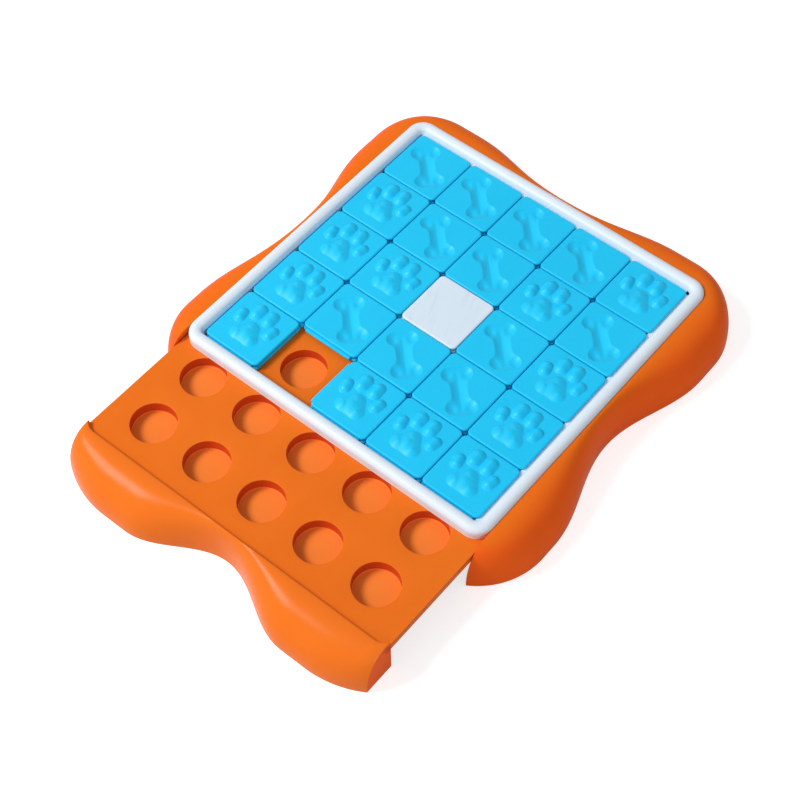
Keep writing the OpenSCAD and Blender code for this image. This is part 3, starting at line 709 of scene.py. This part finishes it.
# Faces inside a well take the material with the painted well shade and light.
here = add_node(tree, "ShaderNodeSeparateXYZ",
                Vector=tree.nodes.new("GeometryNodeInputPosition").outputs[0])
half = calc(tree, "MULTIPLY", size["Pitch"], 0.5)
from_well = [calc(tree, "WRAP", along, half, calc(tree, "MULTIPLY", half, -1.0))
             for along in (here.outputs[0], calc(tree, "ADD", here.outputs[1], size["Setback"]))]
away = calc(tree, "SQRT", calc(tree, "MULTIPLY_ADD", from_well[0], from_well[0],
                               calc(tree, "MULTIPLY", from_well[1], from_well[1])))
in_well = calc(tree, "MULTIPLY", calc(tree, "LESS_THAN", away, size["Well radius"]),
               calc(tree, "GREATER_THAN", here.outputs[2], size["Well floor"]))
shaded_wells = add_node(tree, "GeometryNodeSetMaterial", Geometry=painted.outputs[0],
                 Selection=in_well)
shaded_wells.inputs["Material"].default_value = painted_well_shade
tree.links.new(shaded_wells.outputs[0], out.inputs[0])
wells = grow("drawer_wells", tree, grid_sizes)
bpy.data.objects.remove(cell)

field = WELL_PITCH * 2.5
low_y = -field - SETBACK
margins = [block("margin", (*start, TRAY_TOP - TRAY_PLATE), (*end, TRAY_TOP), drawer_plastic)
           for start, end in (((-TRAY_HALF, LIP_AT - 2.5), (TRAY_HALF, low_y)),
                              ((-TRAY_HALF, low_y), (-field, TRAY_BACK)),
                              ((field, low_y), (TRAY_HALF, TRAY_BACK)))]
edge_in = TRAY_HALF - EDGE_WALL
edges = [block("edge", (*start, EDGE_LOW), (*end, EDGE_HIGH), drawer_plastic)
         for start, end in (((-TRAY_HALF, LIP_AT), (-edge_in, TRAY_BACK)),
                            ((edge_in, LIP_AT), (TRAY_HALF, TRAY_BACK)),
                            ((-edge_in, TRAY_BACK - EDGE_WALL), (edge_in, TRAY_BACK)))]


def lip_in(x):
    """The lip's crest line: straight, with a small corner at each end."""
    turn = max(abs(x) - LIP_TURN, 0.0)
    return LIP_AT + LIP_CORNER - math.sqrt(LIP_CORNER ** 2 - turn ** 2)


def lip_out(x):
    """The lip's foot line: a waist in the middle, two lobes and a long corner round."""
    share = (1 - math.cos(math.pi * min(abs(x) / LIP_CROWN_AT, 1.0))) / 2
    reach = LIP_WAIST + (LIP_CROWN - LIP_WAIST) * share
    ends = max(abs(x) - LIP_ROUND_AT, 0.0)
    return -FRAME_HALF - reach + LIP_FOOT_ROUND - math.sqrt(LIP_FOOT_ROUND ** 2 - ends ** 2)


def lip(name, material, end_material, across=150, levels=32, fullness=2.3):
    """The hollow lip, swept across the drawer with a cove down to the tray and two flat ends."""
    ends = np.linspace(LIP_TURN, TRAY_HALF, 17)[1:]
    xs = np.concatenate([-ends[::-1], np.linspace(-LIP_TURN, LIP_TURN, across + 1), ends])
    cove_in, cove_run, cove_rise = 0.6, 1.0, 1.2
    crest_run, crest_rise = 0.8, 0.9
    rows = []
    for x in xs:
        y0, y1 = lip_in(x), lip_out(x)
        inner = y0 + cove_in - cove_run
        row = [(x, y0 + cove_in, TRAY_TOP - 0.5), (x, y0 + cove_in, TRAY_TOP + 0.02)]
        for a in np.radians([15, 30, 45, 60, 75]):
            row.append((x, y0 + cove_in - cove_run * math.sin(a),
                        TRAY_TOP + cove_rise * (1 - math.cos(a))))
        for a in np.radians([0, 20, 40, 60, 80]):
            row.append((x, inner - crest_run * (1 - math.cos(a)),
                        LIP_TOP - 1.0 + crest_rise * math.sin(a)))
        for step in range(1, levels + 1):
            t = math.pi / 2 * step / levels
            y = y0 - 0.2 + (y1 - y0 + 0.2) * math.sin(t) ** (2 / fullness)
            z = FOOT_Z + (LIP_TOP - FOOT_Z) * math.cos(t) ** (2 / fullness)
            row.append((x, min(y, inner - crest_run - 0.05 - 0.004 * step), z - 0.02))
        row += [(x, y1 + WALL, FOOT_Z), (x, y0 - WALL, FOOT_Z), (x, y0, FOOT_Z),
                (x, y0, TRAY_TOP - 1)]
        rows.append(row)
    m, n = len(rows[0]), len(rows)
    points = [p for row in rows for p in row]
    faces = [(i * m + j, i * m + (j + 1) % m, (i + 1) * m + (j + 1) % m, (i + 1) * m + j)
             for i in range(n - 1) for j in range(m)]
    faces += [tuple(range(m)), tuple((n - 1) * m + m - 1 - j for j in range(m))]
    piece = close_up(solid(name, points, faces, material))
    piece.data.materials.append(end_material)
    for face in piece.data.polygons[-2:]:
        face.material_index = 1
    return piece


# The lip's flat ends take the base orange, whose painted shade makes them darker and redder.
front = lip("drawer_lip", lip_plastic, orange)
drawer = join("drawer_moulding", [wells, front] + margins + edges)
drawer.data.transform(Matrix.Translation((0, -OUT * MM, 0)))
shade(drawer, 40)
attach(drawer, "drawer_body")
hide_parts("drawer")

# --- Tiles
# Twenty-four square tiles in soft-looking satin plastic, moulded with a tongue along the left
# and front edges and a groove along the others. Twelve carry a raised paw and eleven a sunk
# bone; the white one in the middle is plain.
tile_low, tile_high = corners("tile_r3_c3")
FIELD_PITCH = (corners("tile_r5_c3")[1][1] - tile_high[1]) / 2
TILE = 2 * tile_high[0]
TILE_CORNER = 3.4
TILE_EDGE = 1.0
TILE_LOW = tile_low[2]
SLAB = 1.8
TONGUE = -tile_low[0] - tile_high[0]
PAW = 2.8
BONE = 2.3
PLUG_LOW = DECK - 2.9
blue = moulded("blue_abs", (0.014, 0.610, 0.970), (0.011, 0.575, 0.94), 0.38, inside=0.1,
               radius=(0.2, 0.7, 1.0), mirror=0.2)
tile_white = moulded("white_tile", (0.74, 0.86, 0.97), (0.68, 0.80, 0.92), 0.36, inside=0.1,
                     radius=(0.8, 0.9, 1.0), mirror=0.2)
tree = tile_white.node_tree
slanted = add_node(tree, "ShaderNodeMapping", {"vector_type": "TEXTURE"},
                   Vector=tree.nodes.new("ShaderNodeTexCoord").outputs["Object"],
                   Rotation=(0.0, 0.0, 0.42), Scale=(1 / 260, 1 / 26, 1 / 26))
streak = add_node(tree, "ShaderNodeTexNoise", Vector=slanted.outputs[0], Scale=1.0, Detail=3.0)
share = add_node(tree, "ShaderNodeMapRange", Value=streak.outputs[0], From_Min=0.54,
                 From_Max=0.74, To_Max=0.35)
scuffed = add_node(tree, "ShaderNodeMix", {"data_type": "RGBA"})
link(tree, share.outputs[0], scuffed.inputs["Factor"])
skin_colour = tree.nodes["Principled BSDF"].inputs["Base Color"].links[0].from_socket
link(tree, skin_colour, scuffed.inputs[6])
scuffed.inputs[7].default_value = (0.60, 0.66, 0.74, 1.0)
link(tree, scuffed.outputs[2], tree.nodes["Principled BSDF"].inputs["Base Color"])


def bar_depth(x, y, start, end, half_width):
    """How far a spot lies inside a round-ended bar, negative outside it."""
    (ax, ay), (bx, by) = start, end
    run = max((bx - ax) ** 2 + (by - ay) ** 2, 1e-9)
    t = np.clip(((x - ax) * (bx - ax) + (y - ay) * (by - ay)) / run, 0, 1)
    return half_width - np.hypot(x - ax - t * (bx - ax), y - ay - t * (by - ay))


def blend(shapes, soft):
    """One outline round several shapes with soft inner corners."""
    return soft * np.log(sum(np.exp(np.clip(shape, -9, None) / soft) for shape in shapes))


def pillow(depth_in, width, rise, power, foot=0.07):
    """A rounded edge that climbs over a width to a flat crown, with a soft foot."""
    share = np.clip(depth_in / width, -0.6, 1)
    return foot * np.log1p(np.exp(rise * (1 - (1 - share) ** power) / foot))


def paw(x, y):
    """Height of the raised paw: four toes and a three-lobed pad, placed by shares of k."""
    k = FIELD_PITCH
    lobes = ((0, -0.138, 0.170), (0.118, -0.2, 0.122), (-0.118, -0.2, 0.122),
             (0, -0.034, 0.124))
    pad = blend([bar_depth(x, y, (cx * k, cy * k), (cx * k, cy * k), r * k)
                 for cx, cy, r in lobes], 1.0)
    height = pillow(pad, 0.19 * k, PAW, 1.7)
    for side in (-1, 1):
        for cx, cy, lean, run, half_width, rise in (
                (0.284, 0.068, 11, 0.045, 0.092, 0.88 * PAW),
                (0.114, 0.258, -2, 0.05, 0.106, 0.92 * PAW)):
            dx = side * run * k * math.sin(math.radians(lean))
            dy = run * k * math.cos(math.radians(lean))
            cx, cy = side * cx * k, cy * k
            toe = bar_depth(x, y, (cx - dx, cy - dy), (cx + dx, cy + dy), half_width * k)
            height = np.maximum(height, pillow(toe, half_width * k, rise, 1.8))
    return height


def bone(x, y):
    """Depth of the sunk bone: four lobes and a bar between them, placed by shares of k."""
    k = FIELD_PITCH
    end = 0.2 * k
    shapes = [bar_depth(x, y, (-end, end), (end, -end), 0.116 * k)]
    for side in (-1, 1):
        for cx, cy in ((0.286, -0.124), (0.124, -0.286)):
            spot = (side * cx * k, side * cy * k)
            shapes.append(bar_depth(x, y, spot, spot, 0.114 * k))
    return -pillow(blend(shapes, 1.6), 0.125 * k, BONE, 1.7)


def plain(x, y):
    """The white tile has no relief."""
    return np.zeros_like(x)


def tile_mesh(name, relief, material):
    """A tile with its relief worked into a fine grid on top."""
    half = TILE / 2
    core = half - TILE_CORNER
    rim = half - TILE_EDGE * (1 - np.cos(np.radians([0, 18, 36, 54, 72, 90])))
    line = np.concatenate([np.linspace(0, core, 58), np.linspace(core, rim[-1], 8)[1:-1],
                           rim[::-1]])
    line = np.concatenate([-line[:0:-1], line])
    n = len(line)
    gx, gy = np.meshgrid(line, line, indexing="ij")
    u = np.clip((np.abs(gx) - core) / TILE_CORNER, 0, 1)
    v = np.clip((np.abs(gy) - core) / TILE_CORNER, 0, 1)
    corner = (u > 0) & (v > 0)
    x = np.where(corner, np.sign(gx) * (core + TILE_CORNER * u * np.sqrt(1 - v * v / 2)), gx)
    y = np.where(corner, np.sign(gy) * (core + TILE_CORNER * v * np.sqrt(1 - u * u / 2)), gy)
    depth = np.where(corner, TILE_CORNER - np.hypot(np.abs(x) - core, np.abs(y) - core),
                     half - np.maximum(np.abs(x), np.abs(y)))
    near = np.clip(TILE_EDGE - depth, 0, TILE_EDGE)
    z = DECK - TILE_EDGE + np.sqrt(TILE_EDGE ** 2 - near ** 2) + relief(x, y)
    points = list(zip(x.ravel(), y.ravel(), z.ravel()))
    faces = [(i * n + j, (i + 1) * n + j, (i + 1) * n + j + 1, i * n + j + 1)
             for i in range(n - 1) for j in range(n - 1)]
    around = ([(i, 0) for i in range(n - 1)] + [(n - 1, j) for j in range(n - 1)]
              + [(i, n - 1) for i in range(n - 1, 0, -1)] + [(0, j) for j in range(n - 1, 0, -1)])
    loop = [i * n + j for i, j in around]
    chamfer = 0.25
    plug = (half - TONGUE - 0.3) / half
    for z_at, share in ((DECK - SLAB + chamfer, 1.0), (DECK - SLAB, (half - chamfer) / half),
                        (DECK - SLAB, plug), (PLUG_LOW, plug)):
        first = len(points)
        points += [(points[v][0] * share, points[v][1] * share, z_at) for v in loop]
        below = list(range(first, first + len(loop)))
        faces += [(loop[i - 1], below[i - 1], below[i], loop[i]) for i in range(len(loop))]
        loop = below
    faces.append(tuple(loop[::-1]))
    top = solid(name, points, faces, material)

    def layer(shift, width, radius, z0, z1):
        """One level of the blank, a square pushed over to the left and the front."""
        plan = []
        h = width / 2 - radius
        for start, (sx, sy) in enumerate(((1, 1), (-1, 1), (-1, -1), (1, -1))):
            plan += arc(sx * h - shift, sy * h - shift, radius, 90 * start, 90 * start + 90, 6)
        return prism(name, plan, z0, z1, material)

    low = TILE_LOW + SLAB
    tongue_low, tongue_high = low + 0.2, low + 1.8
    parts = [top, soften(layer(0, TILE, TILE_CORNER / 2, TILE_LOW, low), chamfer, 1),
             layer(TONGUE / 2, TILE - TONGUE, TILE_CORNER, low - 0.05, PLUG_LOW + 0.05)]
    for start, end in (((-half - TONGUE, -core), (-half + 1, core)),
                       ((-core, -half - TONGUE), (core, -half + 1))):
        tongue = block(name, (*start, tongue_low), (*end, tongue_high), material)
        parts.append(soften(tongue, 0.3))
    done = shade(join(name, parts), 50)
    mesh = done.data
    bpy.data.objects.remove(done)
    return mesh


# p is a paw, b a bone, w the white tile; the back row comes first
layout = {5: "bbbbp", 4: "pbbpb", 3: "ppwbp", 2: "pbbbp", 1: "p ppp"}
kinds = {"p": tile_mesh("paw_tile", paw, blue), "b": tile_mesh("bone_tile", bone, blue),
         "w": tile_mesh("plain_tile", plain, tile_white)}
for row, letters in layout.items():
    for column, letter in enumerate(letters, start=1):
        if letter == " ":
            continue
        mesh = kinds[letter].copy()
        mesh.transform(Matrix.Translation(((column - 3) * FIELD_PITCH * MM,
                                           (row - 3) * FIELD_PITCH * MM, 0)))
        tile = bpy.data.objects.new(f"tile_look_r{row}_c{column}", mesh)
        scene.collection.objects.link(tile)
        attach(tile, f"b_r{row}_c{column}")
        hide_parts(f"tile_r{row}_c{column}")

# --- Floor and light
# A pale seamless floor under a large soft lamp high on the left, a weaker one from the front and
# an even white surround.
bpy.ops.mesh.primitive_plane_add(size=30, location=(0, 0, 0))
floor = bpy.context.object
floor.name = "studio_floor"
paper = bpy.data.materials.new("studio_paper")
paper.use_nodes = True
nodes, links = paper.node_tree.nodes, paper.node_tree.links
shader = nodes["Principled BSDF"]
shader.inputs["Roughness"].default_value = 0.9
mottle = add_node(paper.node_tree, "ShaderNodeTexNoise",
                  Vector=nodes.new("ShaderNodeTexCoord").outputs["Object"], Scale=3.0)
tone = add_node(paper.node_tree, "ShaderNodeMapRange", Value=mottle.outputs[0], To_Min=0.62,
                To_Max=0.64)
links.new(tone.outputs[0], shader.inputs["Base Color"])
path = nodes.new("ShaderNodeLightPath")
seen = calc(paper.node_tree, "MAXIMUM",
            calc(paper.node_tree, "MULTIPLY", path.outputs["Is Camera Ray"], 0.68),
            calc(paper.node_tree, "MULTIPLY", path.outputs["Is Glossy Ray"], 0.36))
links.new(seen, shader.inputs["Emission Strength"])
shader.inputs["Emission Color"].default_value = (1, 1, 1, 1)
floor.data.materials.append(paper)

world = bpy.data.worlds.new("studio")
scene.world = world
world.use_nodes = True
nodes, links = world.node_tree.nodes, world.node_tree.links
AMBIENT = 0.38  # strength of the surround on the toy; the camera and mirrors see 1
background = nodes["Background"]
background.inputs["Color"].default_value = (1, 1, 1, 1)
path = nodes.new("ShaderNodeLightPath")
seen = calc(world.node_tree, "MAXIMUM", path.outputs["Is Camera Ray"],
            calc(world.node_tree, "MAXIMUM", path.outputs["Is Glossy Ray"],
                 path.outputs["Is Transmission Ray"]))
links.new(calc(world.node_tree, "MULTIPLY_ADD", seen, 1.0 - AMBIENT, AMBIENT),
          background.inputs["Strength"])


def lamp(name, place, width, power):
    """A round soft lamp turned to the middle of the toy."""
    data = bpy.data.lights.new(name, "AREA")
    data.shape = "DISK"
    data.size = width
    data.energy = power
    obj = bpy.data.objects.new(name, data)
    scene.collection.objects.link(obj)
    obj.location = place
    obj.rotation_euler = (-Vector(place)).to_track_quat("-Z", "Y").to_euler()


lamp("key", (-1.27, -1.21, 1.85), 0.9, 46)
lamp("fill", (1.6, -1.7, 1.0), 1.0, 9)

# --- Camera
# A long lens high on the front right, turned a little about its own axis.
camera = bpy.data.objects.new("camera", bpy.data.cameras.new("camera"))
scene.collection.objects.link(camera)
scene.camera = camera
camera.data.sensor_width = 36
camera.data.lens = 79.41
AIM = Vector((19.65, -70.86, DECK)) * MM
DISTANCE = 24.676 * FIELD_PITCH * MM
azimuth, elevation, roll = (math.radians(a) for a in (40.292, 55.105, -0.991))
look = Vector((math.sin(azimuth) * math.cos(elevation), -math.cos(azimuth) * math.cos(elevation),
               math.sin(elevation)))
right = Vector((math.cos(azimuth), math.sin(azimuth), 0))
up = look.cross(right)
right, up = (right * math.cos(roll) + up * math.sin(roll),
             up * math.cos(roll) - right * math.sin(roll))
place = Matrix((right, up, look)).transposed().to_4x4()
place.translation = AIM + look * DISTANCE
camera.matrix_world = place
camera.data.clip_start, camera.data.clip_end = 0.01, 100

scene.view_settings.view_transform = "Standard"
